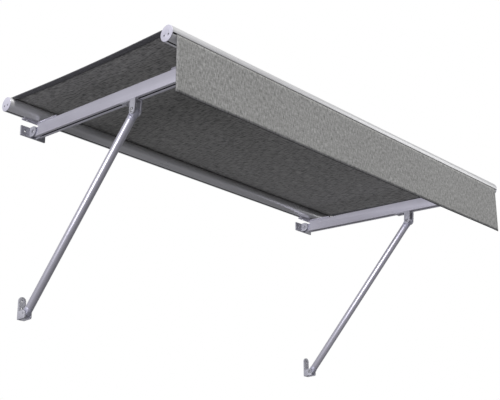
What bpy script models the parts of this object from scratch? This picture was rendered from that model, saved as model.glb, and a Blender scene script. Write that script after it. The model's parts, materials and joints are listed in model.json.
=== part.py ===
"""Fixed-frame fabric awning: two slotted tubes on two hinged arms, held by two struts, with a loose valance.

World frame in metres: X along the width, +Y into the wall, +Z up. The origin lies on the wall face,
half-way between the two arms, level with the bolts that the arms swing on. The canopy is modelled in its
own frame: the empty canopy_pivot lies on the arm bolts and is pitched, so that local -Y runs down the arm.
"""

import math

import bmesh
import bpy
from mathutils import Matrix, Vector

# ---------------------------------------------------------------- driving dimensions, in metres and radians
GAP = 0.0003
WIDTH = 2.320
PITCH = math.radians(5.0)

ARM_X = 0.970
ARM_WIDTH = 0.040
ARM_HEIGHT = 0.060
ARM_CORNER = 0.0025
ARM_REAR = 0.0195
ARM_FRONT = 1.1815
ARM_END_CUT_Y = -0.016
ARM_END_CUT_RADIUS = 0.0302
ARM_SLOT_MOUTH = 0.011
ARM_SLOT_WIDTH = 0.020
ARM_SLOT_LIP = 0.003
ARM_SLOT_DEPTH = 0.011
ARM_WALL = 0.003
ARM_CAVITY_HEIGHT = 0.032
ARM_CAP_THICKNESS = 0.003

TUBE_RADIUS = 0.035
TUBE_WALL = 0.002
TUBE_SPACING = 1.137
REAR_TUBE_Y = -0.0265
TUBE_SLOT_WALL = 0.0018
WELT_SLOT_RADIUS = 0.005
WELT_SLOT_DEPTH = 0.007
CANOPY_SLOT_MOUTH = 0.0054
VALANCE_SLOT_MOUTH = 0.0070
FIXING_SLOT_RADIUS = 0.0065
FIXING_SLOT_DEPTH = 0.008
FIXING_SLOT_MOUTH = 0.0080
CANOPY_SLOT_LEAN = math.radians(10.0)
VALANCE_SLOT_DROP = math.radians(11.0)
FIXING_SLOT_LEAN = math.radians(8.0)

END_CAP_THICKNESS = 0.004
END_CAP_HUB_RADIUS = 0.016
END_CAP_HUB_LENGTH = 0.016
END_CAP_HOLE_RADIUS = 0.0024
END_CAP_HOLE_SPACING = 0.025
END_CAP_HOLE_DROP = 0.007

HOLDER_THICKNESS = 0.0069
HOLDER_LENGTH = 0.170
HOLDER_OVERHANG = 0.0065
HOLDER_BAR_LENGTH = 0.186
HOLDER_BAR_WIDTH = 0.026
HOLDER_RIB_WIDTH = 0.0044
HOLDER_RIB_HEIGHT = 0.0032
HOLDER_SCREW_X = 0.072
HOLDER_SCREW_RADIUS = 0.0022

FABRIC_THICKNESS = 0.0012
FABRIC_INSET = 0.017
WELT_RADIUS = 0.0035

VALANCE_INSET = 0.0235
VALANCE_DROP = 0.242
VALANCE_THICKNESS = 0.0012
VALANCE_STAND_OFF = 0.0016

PIVOT_REACH = 0.032
BRACKET_PLATE = 0.008
BRACKET_WIDTH = 0.136
BRACKET_HEIGHT = 0.050
BRACKET_EAR = 0.007
BRACKET_HOLE_X = 0.044
BRACKET_HOLE_RADIUS = 0.0055
PIVOT_BOLT_RADIUS = 0.005
PIVOT_HEAD_RADIUS = 0.008
PIVOT_RECESS_RADIUS = 0.0092
PIVOT_RECESS_DEPTH = 0.0042

HINGE_TONGUE_RADIUS = 0.0215
HINGE_PLUG_LENGTH = 0.070

FOOT_Z = -0.8934
FOOT_REACH = 0.044
FOOT_WIDTH = 0.038
FOOT_PLATE = 0.008
FOOT_ABOVE = 0.086
FOOT_BELOW = 0.022
FOOT_EAR = 0.006
FOOT_EAR_HEIGHT = 0.038
FOOT_EAR_RADIUS = 0.016
FOOT_HOLE_RADIUS = 0.0045
FOOT_HOLE_ABOVE = 0.065
FOOT_HOLE_SPACING = 0.033

STRUT_RADIUS = 0.019
STRUT_WALL = 0.002
STRUT_COLLAR = 0.038
STRUT_TONGUE = 0.024
STRUT_TONGUE_RADIUS = 0.0165
STRUT_PLUG_LENGTH = 0.045
STRUT_BOLT_RADIUS = 0.004
STRUT_BOLT_CLEARANCE = 0.0003
OPEN_PIVOT_HOLE_RADIUS = 0.0065
OPEN_PIVOT_AXIAL = -0.0012
OPEN_PIVOT_ACROSS = -0.0012

SHOE_PIVOT = 0.7596
SHOE_PIVOT_DROP = 0.053
SHOE_REAR = 0.677
SHOE_PLATE = 0.006
SHOE_EAR = 0.0065
SHOE_EAR_RADIUS = 0.018
SHOE_SCREW_PLACES = (0.692, 0.722)
SHOE_SCREW_RADIUS = 0.0038
SHOE_NUT_THICKNESS = 0.005

ROUND_SIDES = 48
STRUT_SIDES = 32
SMALL_SIDES = 20
ARC_STEPS = 12
SMOOTH_LIMIT = math.radians(30.0)

SIDES = {"left": -1.0, "right": 1.0}

# ---------------------------------------------------------------- derived places
ARM_TOP = ARM_HEIGHT / 2
TUBE_Z = ARM_TOP + GAP + HOLDER_THICKNESS + GAP + TUBE_RADIUS
FRONT_TUBE_Y = REAR_TUBE_Y - TUBE_SPACING
WELT_CENTRE = TUBE_RADIUS - WELT_SLOT_DEPTH
FIXING_Y = -TUBE_RADIUS * math.sin(FIXING_SLOT_LEAN)
SHOE_PIVOT_Z = -ARM_TOP - SHOE_PIVOT_DROP


# ---------------------------------------------------------------- materials and objects
def material(name, colour, roughness, metallic):
    """One Principled BSDF material."""
    made = bpy.data.materials.new(name)
    made.use_nodes = True
    shader = made.node_tree.nodes["Principled BSDF"]
    shader.inputs["Base Color"].default_value = (*colour, 1.0)
    shader.inputs["Roughness"].default_value = roughness
    shader.inputs["Metallic"].default_value = metallic
    return made


def finish(bm, name, mat, parent=None, place=(0.0, 0.0, 0.0), smooth=True):
    """Turns a bmesh into a linked object with outward faces, and returns it."""
    bmesh.ops.recalc_face_normals(bm, faces=bm.faces[:])
    mesh = bpy.data.meshes.new(name)
    bm.to_mesh(mesh)
    bm.free()
    if smooth:
        mesh.shade_smooth()
        mesh.set_sharp_from_angle(angle=SMOOTH_LIMIT)
    mesh.materials.append(mat)
    made = bpy.data.objects.new(name, mesh)
    bpy.context.collection.objects.link(made)
    made.location = place
    made.parent = parent
    return made


def empty(name, place, turn=0.0, parent=None):
    """An empty that carries what moves with it, turned about X."""
    made = bpy.data.objects.new(name, None)
    bpy.context.collection.objects.link(made)
    made.location = place
    made.rotation_euler.x = turn
    made.parent = parent
    return made


def combine(target, tool, operation):
    """A Boolean of tool on target; the tool becomes a hidden guide."""
    modifier = target.modifiers.new(f"{operation.lower()}_{tool.name}", "BOOLEAN")
    modifier.operation = operation
    modifier.object = tool
    modifier.solver = "EXACT"
    tool.hide_render = True
    tool.display_type = "WIRE"


def cut(target, *tools):
    """Takes the tools out of the target."""
    for tool in tools:
        combine(target, tool, "DIFFERENCE")


def join(target, *tools):
    """Adds the tools to the target, as one body."""
    for tool in tools:
        combine(target, tool, "UNION")


# ---------------------------------------------------------------- shapes
def arc(centre, radius, start, end, steps=ARC_STEPS):
    """Points (y, z) on an arc, from one angle to the other, both in degrees."""
    points = []
    for step in range(steps + 1):
        angle = math.radians(start + (end - start) * step / steps)
        points.append((centre[0] + radius * math.cos(angle), centre[1] + radius * math.sin(angle)))
    return points


def prism_x(outline, x_low, x_high):
    """A (y, z) outline, extruded along X."""
    bm = bmesh.new()
    face = bm.faces.new([bm.verts.new((x_low, y, z)) for y, z in outline])
    pushed = bmesh.ops.extrude_face_region(bm, geom=[face])
    moved = [item for item in pushed["geom"] if isinstance(item, bmesh.types.BMVert)]
    bmesh.ops.translate(bm, vec=(x_high - x_low, 0.0, 0.0), verts=moved)
    return bm


def prism_y(outline, y_low, y_high):
    """An (x, z) outline, extruded along Y."""
    bm = prism_x(outline, y_low, y_high)
    bmesh.ops.transform(bm, matrix=Matrix.Rotation(math.pi / 2, 4, "Z"), verts=bm.verts[:])
    bmesh.ops.scale(bm, vec=(-1.0, 1.0, 1.0), verts=bm.verts[:])
    return bm


def rod(radius, start, end, sides=SMALL_SIDES):
    """A solid cylinder between two points."""
    start = Vector(start)
    along = Vector(end) - start
    bm = bmesh.new()
    bmesh.ops.create_cone(
        bm, cap_ends=True, segments=sides, radius1=radius, radius2=radius, depth=along.length
    )
    turn = along.to_track_quat("Z", "Y").to_matrix().to_4x4()
    place = Matrix.Translation(start + along / 2) @ turn
    bmesh.ops.transform(bm, matrix=place, verts=bm.verts[:])
    return bm


def block(low, high):
    """A box between two corners."""
    bm = bmesh.new()
    bmesh.ops.create_cube(bm, size=1.0)
    size = Vector(high) - Vector(low)
    bmesh.ops.scale(bm, vec=size, verts=bm.verts[:])
    bmesh.ops.translate(bm, vec=(Vector(low) + Vector(high)) / 2, verts=bm.verts[:])
    return bm


def turned(profile, origin, direction, sides=SMALL_SIDES):
    """A solid turned about an axis. profile holds (radius, distance along the axis), from end to end."""
    bm = bmesh.new()
    rings = [bm.verts.new((radius, 0.0, along)) for radius, along in profile]
    edges = [bm.edges.new(pair) for pair in zip(rings, rings[1:])]
    bmesh.ops.spin(
        bm,
        geom=rings + edges,
        cent=(0.0, 0.0, 0.0),
        axis=(0.0, 0.0, 1.0),
        angle=math.tau,
        steps=sides,
        use_merge=True,
    )
    bmesh.ops.remove_doubles(bm, verts=bm.verts[:], dist=1e-6)
    open_edges = [edge for edge in bm.edges if edge.is_boundary]
    if open_edges:
        bmesh.ops.holes_fill(bm, edges=open_edges)
    turn = Vector(direction).to_track_quat("Z", "Y").to_matrix().to_4x4()
    bmesh.ops.transform(bm, matrix=Matrix.Translation(origin) @ turn, verts=bm.verts[:])
    return bm


def thick_path(path, thickness):
    """The outline of a strip of the given thickness whose middle follows a (y, z) path."""
    points = [Vector(point) for point in path]
    offsets = []
    for index, point in enumerate(points):
        before = (point - points[max(index - 1, 0)]).normalized()
        after = (points[min(index + 1, len(points) - 1)] - point).normalized()
        run = (before + after).normalized()
        side = Vector((-run.y, run.x))
        square = max(run.dot(after if index == 0 else before), 0.5)
        offsets.append(side * (thickness / 2 / square))
    upper = [tuple(point + offset) for point, offset in zip(points, offsets)]
    lower = [tuple(point - offset) for point, offset in zip(points, offsets)]
    return upper + lower[::-1]


def hex_socket(name, origin, direction, across, depth, parent, place):
    """A hidden hexagonal cutter for a socket screw's drive."""
    end = Vector(origin) + Vector(direction).normalized() * depth
    start = Vector(origin) - Vector(direction).normalized() * depth
    return finish(rod(across / math.sqrt(3.0), start, end, sides=6), name, STEEL, parent, place)


# ---------------------------------------------------------------- wall brackets and their bolts
def ear_outline(root_y, half_height, radius):
    """An ear that runs from its root towards -Y and ends round the pivot at (0, 0)."""
    round_end = arc((0.0, 0.0), radius, 90, 270, 2 * ARC_STEPS)
    return [(root_y, half_height), *round_end, (root_y, -half_height)]


def wall_bracket(side, sign):
    """The upper bracket: a plate with two ears round the arm's hinge block, and its pivot bolt."""
    place = (sign * ARM_X, -PIVOT_REACH, 0.0)
    front = PIVOT_REACH - BRACKET_PLATE
    half = BRACKET_HEIGHT / 2
    outer = ARM_WIDTH / 2
    inner = outer - BRACKET_EAR
    plate = block((-BRACKET_WIDTH / 2, front, -half), (BRACKET_WIDTH / 2, PIVOT_REACH, half))
    name = f"{side}_wall_bracket"
    bracket = finish(plate, name, BRACKET_METAL, None, place)
    for number, (low, high) in enumerate(((-outer, -inner), (inner, outer))):
        ear = prism_x(ear_outline(front + 0.002, half, half), low, high)
        join(bracket, finish(ear, f"guide_{name}_ear_{number}", STEEL, None, place))
    bore = rod(PIVOT_BOLT_RADIUS + GAP, (-outer - 0.01, 0.0, 0.0), (outer + 0.01, 0.0, 0.0))
    cut(bracket, finish(bore, f"guide_{name}_bore", STEEL, None, place))
    recess = rod(
        PIVOT_RECESS_RADIUS,
        (sign * (outer - PIVOT_RECESS_DEPTH), 0.0, 0.0),
        (sign * (outer + 0.01), 0.0, 0.0),
    )
    cut(bracket, finish(recess, f"guide_{name}_recess", STEEL, None, place))
    for number, hole_x in enumerate((-BRACKET_HOLE_X, BRACKET_HOLE_X)):
        hole = rod(BRACKET_HOLE_RADIUS, (hole_x, front - 0.01, 0.0), (hole_x, PIVOT_REACH + 0.01, 0.0))
        cut(bracket, finish(hole, f"guide_{name}_hole_{number}", STEEL, None, place))

    head_start = outer - PIVOT_RECESS_DEPTH + GAP
    head_end = head_start + 0.003
    profile = [
        (0.0, -outer),
        (PIVOT_BOLT_RADIUS, -outer),
        (PIVOT_BOLT_RADIUS, head_start),
        (PIVOT_HEAD_RADIUS, head_start),
        (PIVOT_HEAD_RADIUS, head_end - 0.0006),
        (PIVOT_HEAD_RADIUS - 0.0006, head_end),
        (0.0, head_end),
    ]
    bolt_name = f"{side}_wall_bolt"
    bolt = finish(turned(profile, (0.0, 0.0, 0.0), (sign, 0.0, 0.0)), bolt_name, STEEL, None, place)
    drive_at = (sign * head_end, 0.0, 0.0)
    cut(bolt, hex_socket(f"guide_{bolt_name}_drive", drive_at, (sign, 0.0, 0.0), 0.008, 0.002, None, place))


def foot_bracket(side, sign):
    """The lower bracket: a tall plate with two ears round the strut's foot, and its pivot bolt."""
    place = (sign * ARM_X, -FOOT_REACH, FOOT_Z)
    half = FOOT_WIDTH / 2
    front = FOOT_REACH - FOOT_PLATE
    round_top = [
        (half * math.cos(angle), FOOT_ABOVE - half + half * math.sin(angle))
        for angle in (math.pi * step / ARC_STEPS for step in range(ARC_STEPS + 1))
    ]
    plate = prism_y(round_top + [(-half, -FOOT_BELOW), (half, -FOOT_BELOW)], front, FOOT_REACH)
    name = f"{side}_foot_bracket"
    bracket = finish(plate, name, BRACKET_METAL, None, place)
    radius = FOOT_EAR_RADIUS
    ear_top = FOOT_EAR_HEIGHT - FOOT_BELOW
    outline = [(front + 0.002, ear_top)] + arc((0.0, 0.0), radius, 90, 180)
    outline += [(-radius, -FOOT_BELOW + 0.004), (-radius + 0.004, -FOOT_BELOW), (front + 0.002, -FOOT_BELOW)]
    for number, (low, high) in enumerate(((-half, -half + FOOT_EAR), (half - FOOT_EAR, half))):
        ear = prism_x(outline, low, high)
        join(bracket, finish(ear, f"guide_{name}_ear_{number}", STEEL, None, place))
    bore = rod(STRUT_BOLT_RADIUS + STRUT_BOLT_CLEARANCE, (-half - 0.01, 0.0, 0.0), (half + 0.01, 0.0, 0.0))
    cut(bracket, finish(bore, f"guide_{name}_bore", STEEL, None, place))
    for number in range(2):
        hole_z = FOOT_HOLE_ABOVE - number * FOOT_HOLE_SPACING
        hole = rod(FOOT_HOLE_RADIUS, (0.0, front - 0.01, hole_z), (0.0, FOOT_REACH + 0.01, hole_z))
        cut(bracket, finish(hole, f"guide_{name}_hole_{number}", STEEL, None, place))

    head_start = half + GAP
    profile = [
        (0.0, -half),
        (STRUT_BOLT_RADIUS, -half),
        (STRUT_BOLT_RADIUS, head_start),
        (0.0085, head_start),
        (0.0085, head_start + 0.0015),
        (0.0065, head_start + 0.0040),
        (0.0, head_start + 0.0045),
    ]
    bolt_name = f"{side}_foot_bolt"
    inward = (-sign, 0.0, 0.0)
    bolt = finish(turned(profile, (0.0, 0.0, 0.0), inward), bolt_name, STEEL, None, place)
    drive_at = (-sign * (head_start + 0.0045), 0.0, 0.0)
    cut(bolt, hex_socket(f"guide_{bolt_name}_drive", drive_at, inward, 0.005, 0.0025, None, place))


# ---------------------------------------------------------------- arms
def arm_outline():
    """The arm's section in (x, z): a rounded rectangle with a T-slot in its top and in its bottom."""
    half_x = ARM_WIDTH / 2
    mouth = ARM_SLOT_MOUTH / 2
    slot = ARM_SLOT_WIDTH / 2
    lip = ARM_TOP - ARM_SLOT_LIP
    floor = ARM_TOP - ARM_SLOT_DEPTH
    corner = arc((half_x - ARM_CORNER, ARM_TOP - ARM_CORNER), ARM_CORNER, 0, 90, 3)
    quarter = corner + [(mouth, ARM_TOP), (mouth, lip), (slot, lip), (slot, floor)]
    upper = quarter + [(-x, z) for x, z in reversed(quarter)]
    return upper + [(-x, -z) for x, z in upper]


def arm(side, sign):
    """One arm extrusion with its hinge block at the rear and its end cap at the front."""
    place = (sign * ARM_X, 0.0, 0.0)
    name = f"{side}_arm"
    body = finish(prism_y(arm_outline(), -ARM_FRONT, -ARM_REAR), name, ALUMINIUM, CANOPY, place)
    cavity_x = ARM_WIDTH / 2 - ARM_WALL
    cavity_z = ARM_CAVITY_HEIGHT / 2
    cavity = block((-cavity_x, -ARM_FRONT - 0.01, -cavity_z), (cavity_x, -ARM_REAR + 0.01, cavity_z))
    cut(body, finish(cavity, f"guide_{name}_cavity", STEEL, CANOPY, place))
    end_cut = rod(
        ARM_END_CUT_RADIUS,
        (-ARM_WIDTH, ARM_END_CUT_Y, 0.0),
        (ARM_WIDTH, ARM_END_CUT_Y, 0.0),
        sides=ROUND_SIDES,
    )
    cut(body, finish(end_cut, f"guide_{name}_end", STEEL, CANOPY, place))

    half = ARM_WIDTH / 2 - BRACKET_EAR - GAP * 2
    plug_x = cavity_x - GAP
    plug_z = cavity_z - GAP
    shoulder = -ARM_END_CUT_RADIUS + ARM_END_CUT_Y - 0.004
    neck = -ARM_END_CUT_RADIUS - 0.004
    rear = [(shoulder - 0.002, plug_z), (neck, plug_z)]
    rear += arc((0.0, 0.0), HINGE_TONGUE_RADIUS, 105, -105, 2 * ARC_STEPS)
    rear += [(neck, -plug_z), (shoulder - 0.002, -plug_z)]
    hinge_name = f"{side}_hinge_block"
    hinge = finish(prism_x(rear, -half, half), hinge_name, CAST_METAL, CANOPY, place)
    plug = block((-plug_x, shoulder - HINGE_PLUG_LENGTH, -plug_z), (plug_x, shoulder, plug_z))
    join(hinge, finish(plug, f"guide_{hinge_name}_plug", STEEL, CANOPY, place))
    bore = rod(PIVOT_BOLT_RADIUS + GAP, (-half - 0.01, 0.0, 0.0), (half + 0.01, 0.0, 0.0))
    cut(hinge, finish(bore, f"guide_{hinge_name}_bore", STEEL, CANOPY, place))

    cap_rear = -ARM_FRONT - GAP
    cap_front = cap_rear - ARM_CAP_THICKNESS
    flat = [(x, z) for x, z in arm_outline() if abs(x) > ARM_SLOT_WIDTH / 2 + 0.001]
    cap_name = f"{side}_arm_cap"
    cap = finish(prism_y(flat, cap_front, cap_rear), cap_name, PLASTIC, CANOPY, place)
    tenon_x = plug_x - 0.001
    tenon_z = plug_z - 0.001
    tenon = block((-tenon_x, cap_rear - 0.001, -tenon_z), (tenon_x, cap_rear + 0.012, tenon_z))
    join(cap, finish(tenon, f"guide_{cap_name}_tenon", STEEL, CANOPY, place))


# ---------------------------------------------------------------- tubes
def slot_direction(kind):
    """The outward unit vector (y, z) of a tube slot."""
    leans = {
        "rear_top": (math.sin(CANOPY_SLOT_LEAN), math.cos(CANOPY_SLOT_LEAN)),
        "front_top": (-math.sin(CANOPY_SLOT_LEAN), math.cos(CANOPY_SLOT_LEAN)),
        "bottom": (-math.sin(FIXING_SLOT_LEAN), -math.cos(FIXING_SLOT_LEAN)),
        "valance": (-math.cos(VALANCE_SLOT_DROP), -math.sin(VALANCE_SLOT_DROP)),
    }
    return Vector(leans[kind])


def slot_size(kind):
    """A tube slot's channel radius, the depth of its centre below the tube's surface, and its mouth."""
    if kind == "bottom":
        return FIXING_SLOT_RADIUS, FIXING_SLOT_DEPTH, FIXING_SLOT_MOUTH
    mouth = VALANCE_SLOT_MOUTH if kind == "valance" else CANOPY_SLOT_MOUTH
    return WELT_SLOT_RADIUS, WELT_SLOT_DEPTH, mouth


def tube(end, axis_y, slots):
    """One slotted tube extrusion: a thin round wall with a C-shaped channel behind each slot."""
    half = WIDTH / 2 - END_CAP_THICKNESS - GAP
    over = half + 0.02
    name = f"{end}_tube"
    place = (0.0, axis_y, TUBE_Z)
    body = rod(TUBE_RADIUS, (-half, 0.0, 0.0), (half, 0.0, 0.0), sides=ROUND_SIDES)
    made = finish(body, name, ALUMINIUM, CANOPY, place)
    inside = rod(TUBE_RADIUS - TUBE_WALL, (-over, 0.0, 0.0), (over, 0.0, 0.0), sides=ROUND_SIDES)
    cavity = finish(inside, f"guide_{name}_cavity", STEEL, CANOPY, place)
    channels = []
    mouths = []
    for kind in slots:
        radius, depth, width = slot_size(kind)
        out = slot_direction(kind)
        centre = out * (TUBE_RADIUS - depth)
        shell = rod(radius + TUBE_SLOT_WALL, (-over - 0.01, *centre), (over + 0.01, *centre))
        cut(cavity, finish(shell, f"guide_{name}_{kind}_shell", STEEL, CANOPY, place))
        channel = rod(radius, (-over, *centre), (over, *centre))
        channels.append(finish(channel, f"guide_{name}_{kind}_channel", STEEL, CANOPY, place))
        across = Vector((-out.y, out.x)) * (width / 2)
        far = out * (TUBE_RADIUS + 0.004)
        corners = [centre + across, centre - across, far - across, far + across]
        mouth = prism_x([tuple(corner) for corner in corners], -over, over)
        mouths.append(finish(mouth, f"guide_{name}_{kind}_mouth", STEEL, CANOPY, place))
    cut(made, cavity, *channels, *mouths)


def end_cap(end, side, sign, axis_y):
    """A tube's end cap: a disc with a hub inside the tube and two screw holes."""
    inner = WIDTH / 2 - END_CAP_THICKNESS
    profile = [
        (0.0, inner - END_CAP_HUB_LENGTH),
        (END_CAP_HUB_RADIUS, inner - END_CAP_HUB_LENGTH),
        (END_CAP_HUB_RADIUS, inner),
        (TUBE_RADIUS, inner),
        (TUBE_RADIUS, WIDTH / 2 - 0.001),
        (TUBE_RADIUS - 0.001, WIDTH / 2),
        (0.0, WIDTH / 2),
    ]
    name = f"{end}_{side}_end_cap"
    place = (0.0, axis_y, TUBE_Z)
    shape = turned(profile, (0.0, 0.0, 0.0), (sign, 0.0, 0.0), sides=ROUND_SIDES)
    cap = finish(shape, name, PLASTIC, CANOPY, place)
    for number, offset in enumerate((-END_CAP_HOLE_SPACING / 2, END_CAP_HOLE_SPACING / 2)):
        start = (sign * (inner - 0.006), offset, -END_CAP_HOLE_DROP)
        end_point = (sign * (WIDTH / 2 + 0.01), offset, -END_CAP_HOLE_DROP)
        hole = rod(END_CAP_HOLE_RADIUS, start, end_point, sides=12)
        cut(cap, finish(hole, f"guide_{name}_hole_{number}", STEEL, CANOPY, place))


def tube_holder(end, side, sign, axis_y, towards):
    """A flat T-shaped holder on the arm, with a rib in the tube's bottom slot, and its two screws."""
    place = (sign * ARM_X, axis_y, ARM_TOP + GAP)
    thick = HOLDER_THICKNESS
    half = ARM_WIDTH / 2
    ends = sorted((-towards * HOLDER_OVERHANG, towards * (HOLDER_LENGTH - HOLDER_OVERHANG)))
    name = f"{end}_{side}_holder"
    plate = finish(block((-half, ends[0], 0.0), (half, ends[1], thick)), name, ALUMINIUM, CANOPY, place)
    bar_x = HOLDER_BAR_LENGTH / 2
    bar_y = HOLDER_BAR_WIDTH / 2
    bar = block((-bar_x, -bar_y, 0.0), (bar_x, bar_y, thick))
    rib_y = HOLDER_RIB_WIDTH / 2
    rib = block(
        (-bar_x + 0.004, FIXING_Y - rib_y, thick - 0.002),
        (bar_x - 0.004, FIXING_Y + rib_y, thick + HOLDER_RIB_HEIGHT),
    )
    join(plate, finish(bar, f"guide_{name}_bar", STEEL, CANOPY, place))
    join(plate, finish(rib, f"guide_{name}_rib", STEEL, CANOPY, place))
    for number, x in (("outer", sign * HOLDER_SCREW_X), ("inner", -sign * HOLDER_SCREW_X)):
        hole = rod(HOLDER_SCREW_RADIUS + GAP, (x, FIXING_Y, -0.01), (x, FIXING_Y, thick + 0.01), sides=12)
        cut(plate, finish(hole, f"guide_{name}_{number}", STEEL, CANOPY, place))
        profile = [(0.0, -0.0045), (0.0058, -0.0045), (0.0058, -GAP), (HOLDER_SCREW_RADIUS, -GAP)]
        profile += [(HOLDER_SCREW_RADIUS, thick + 0.0105), (0.0, thick + 0.0105)]
        screw = turned(profile, (x, FIXING_Y, 0.0), (0.0, 0.0, 1.0), sides=12)
        finish(screw, f"{end}_{side}_holder_screw_{number}", STEEL, CANOPY, place)


# ---------------------------------------------------------------- cloth and its welts
def canopy_path():
    """The middle of the canopy cloth in (y, z): over the rear tube, across, over the front tube."""
    lean = math.degrees(CANOPY_SLOT_LEAN)
    radius = TUBE_RADIUS + GAP + FABRIC_THICKNESS / 2
    rear = (REAR_TUBE_Y, TUBE_Z)
    front = (FRONT_TUBE_Y, TUBE_Z)
    inner = WELT_CENTRE + WELT_RADIUS + GAP
    path = [Vector(rear) + slot_direction("rear_top") * inner]
    path += [Vector(point) for point in arc(rear, radius, 90 - lean, 90, 4)]
    path += [Vector(point) for point in arc(front, radius, 90, 90 + lean, 4)]
    path.append(Vector(front) + slot_direction("front_top") * inner)
    return path


def cloth():
    """The stretched canopy, the hanging valance and the three welts that hold them in the slots."""
    half = WIDTH / 2 - FABRIC_INSET
    outline = thick_path(canopy_path(), FABRIC_THICKNESS)
    finish(prism_x(outline, -half, half), "canopy_fabric", DARK_CLOTH, CANOPY, smooth=False)
    for end, axis_y in (("rear", REAR_TUBE_Y), ("front", FRONT_TUBE_Y)):
        centre = Vector((axis_y, TUBE_Z)) + slot_direction(f"{end}_top") * WELT_CENTRE
        welt = rod(WELT_RADIUS, (-half, *centre), (half, *centre), sides=12)
        finish(welt, f"{end}_canopy_welt", PLASTIC, CANOPY)

    out = slot_direction("valance")
    front = Vector((FRONT_TUBE_Y, TUBE_Z))
    half = WIDTH / 2 - VALANCE_INSET
    centre = front + out * WELT_CENTRE
    welt = rod(WELT_RADIUS, (-half, *centre), (half, *centre), sides=12)
    keder = finish(welt, "valance_welt", PLASTIC, CANOPY)
    flap = thick_path([centre, front + out * TUBE_RADIUS], 0.0016)
    join(keder, finish(prism_x(flap, -half, half), "guide_valance_welt_flap", STEEL, CANOPY))

    hinge = valance_hinge()
    thick = VALANCE_THICKNESS
    holder = empty("valance_hinge", hinge)
    sheet = block((-half, -thick / 2, -VALANCE_DROP), (half, thick / 2, 0.0005))
    finish(sheet, "valance", LIGHT_CLOTH, holder, smooth=False)


def valance_hinge():
    """The line that the valance swings on, just outside its slot, in world coordinates."""
    out = slot_direction("valance")
    local = Vector((FRONT_TUBE_Y, TUBE_Z)) + out * (TUBE_RADIUS + VALANCE_STAND_OFF)
    pivot = Vector((0.0, -PIVOT_REACH, 0.0))
    return pivot + Matrix.Rotation(PITCH, 3, "X") @ Vector((0.0, *local))


# ---------------------------------------------------------------- shoes
def shoe(side, sign):
    """The strut's upper bracket: bolted under the arm, with two ears round the strut's head."""
    holder = empty(f"{side}_shoe_place", (sign * ARM_X, -SHOE_PIVOT, SHOE_PIVOT_Z), 0.0, CANOPY)
    half = ARM_WIDTH / 2
    top = SHOE_PIVOT_DROP - GAP
    under = top - SHOE_PLATE
    rear = SHOE_PIVOT - SHOE_REAR
    name = f"{side}_shoe"
    plate = block((-half, -SHOE_EAR_RADIUS, under), (half, rear, top))
    body = finish(plate, name, BRACKET_METAL, holder)
    radius = SHOE_EAR_RADIUS
    outline = [(radius, under + 0.002), (-radius, under + 0.002)] + arc((0.0, 0.0), radius, 180, 360)
    for number, (low, high) in enumerate(((-half, -half + SHOE_EAR), (half - SHOE_EAR, half))):
        join(body, finish(prism_x(outline, low, high), f"guide_{name}_ear_{number}", STEEL, holder))
    bore = rod(STRUT_BOLT_RADIUS + GAP, (-half - 0.01, 0.0, 0.0), (half + 0.01, 0.0, 0.0))
    recess = rod(0.0095, (-sign * (half - 0.003), 0.0, 0.0), (-sign * (half + 0.01), 0.0, 0.0))
    cut(body, finish(bore, f"guide_{name}_bore", STEEL, holder))
    cut(body, finish(recess, f"guide_{name}_recess", STEEL, holder))

    nut_floor = ARM_SLOT_LIP + GAP
    nut_rear = rear - 0.004
    nut_front = nut_rear - 0.056
    nut_x = ARM_SLOT_WIDTH / 2 - GAP * 2
    low_z = SHOE_PIVOT_DROP + nut_floor
    nut_name = f"{side}_slot_nut"
    nut = finish(
        block((-nut_x, nut_front, low_z), (nut_x, nut_rear, low_z + SHOE_NUT_THICKNESS)),
        nut_name,
        STEEL,
        holder,
    )
    for number, place in enumerate(SHOE_SCREW_PLACES):
        y = SHOE_PIVOT - place
        hole = rod(SHOE_SCREW_RADIUS + GAP, (0.0, y, under - 0.01), (0.0, y, low_z + 0.02), sides=16)
        cut(body, finish(hole, f"guide_{name}_hole_{number}", STEEL, holder))
        thread = rod(SHOE_SCREW_RADIUS + GAP, (0.0, y, under - 0.01), (0.0, y, low_z + 0.02), sides=16)
        cut(nut, finish(thread, f"guide_{nut_name}_hole_{number}", STEEL, holder))
        shank_top = low_z + SHOE_NUT_THICKNESS
        screw_name = f"{side}_shoe_screw_{number + 1}"
        head = rod(0.0075, (0.0, y, under - 0.0055), (0.0, y, under - GAP), sides=6)
        screw = finish(head, screw_name, STEEL, holder)
        shank = rod(SHOE_SCREW_RADIUS, (0.0, y, under - 0.002), (0.0, y, shank_top), sides=16)
        join(screw, finish(shank, f"guide_{screw_name}_shank", STEEL, holder))

    head_start = half + GAP
    profile = [
        (0.0, -half + 0.0002),
        (STRUT_BOLT_RADIUS, -half + 0.0002),
        (STRUT_BOLT_RADIUS, head_start),
        (0.0110, head_start),
        (0.0110, head_start + 0.002),
        (0.0090, head_start + 0.004),
        (0.0, head_start + 0.0045),
    ]
    bolt_name = f"{side}_shoe_bolt"
    outward = (sign, 0.0, 0.0)
    bolt = finish(turned(profile, (0.0, 0.0, 0.0), outward), bolt_name, STEEL, holder)
    drive_at = (sign * (head_start + 0.0045), 0.0, 0.0)
    drive_name = f"guide_{bolt_name}_drive"
    cut(bolt, hex_socket(drive_name, drive_at, outward, 0.006, 0.0025, holder, (0.0, 0.0, 0.0)))
    nut_start = -sign * (half - 0.003 + GAP)
    nut_end = -sign * (half + 0.0015)
    hexagon = rod(0.0075, (nut_start, 0.0, 0.0), (nut_end, 0.0, 0.0), sides=6)
    ring = finish(hexagon, f"{side}_shoe_nut", STEEL, holder)
    thread = rod(STRUT_BOLT_RADIUS + GAP, (nut_start * 0.5, 0.0, 0.0), (nut_end * 1.5, 0.0, 0.0))
    cut(ring, finish(thread, f"guide_{side}_shoe_nut_thread", STEEL, holder))


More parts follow.
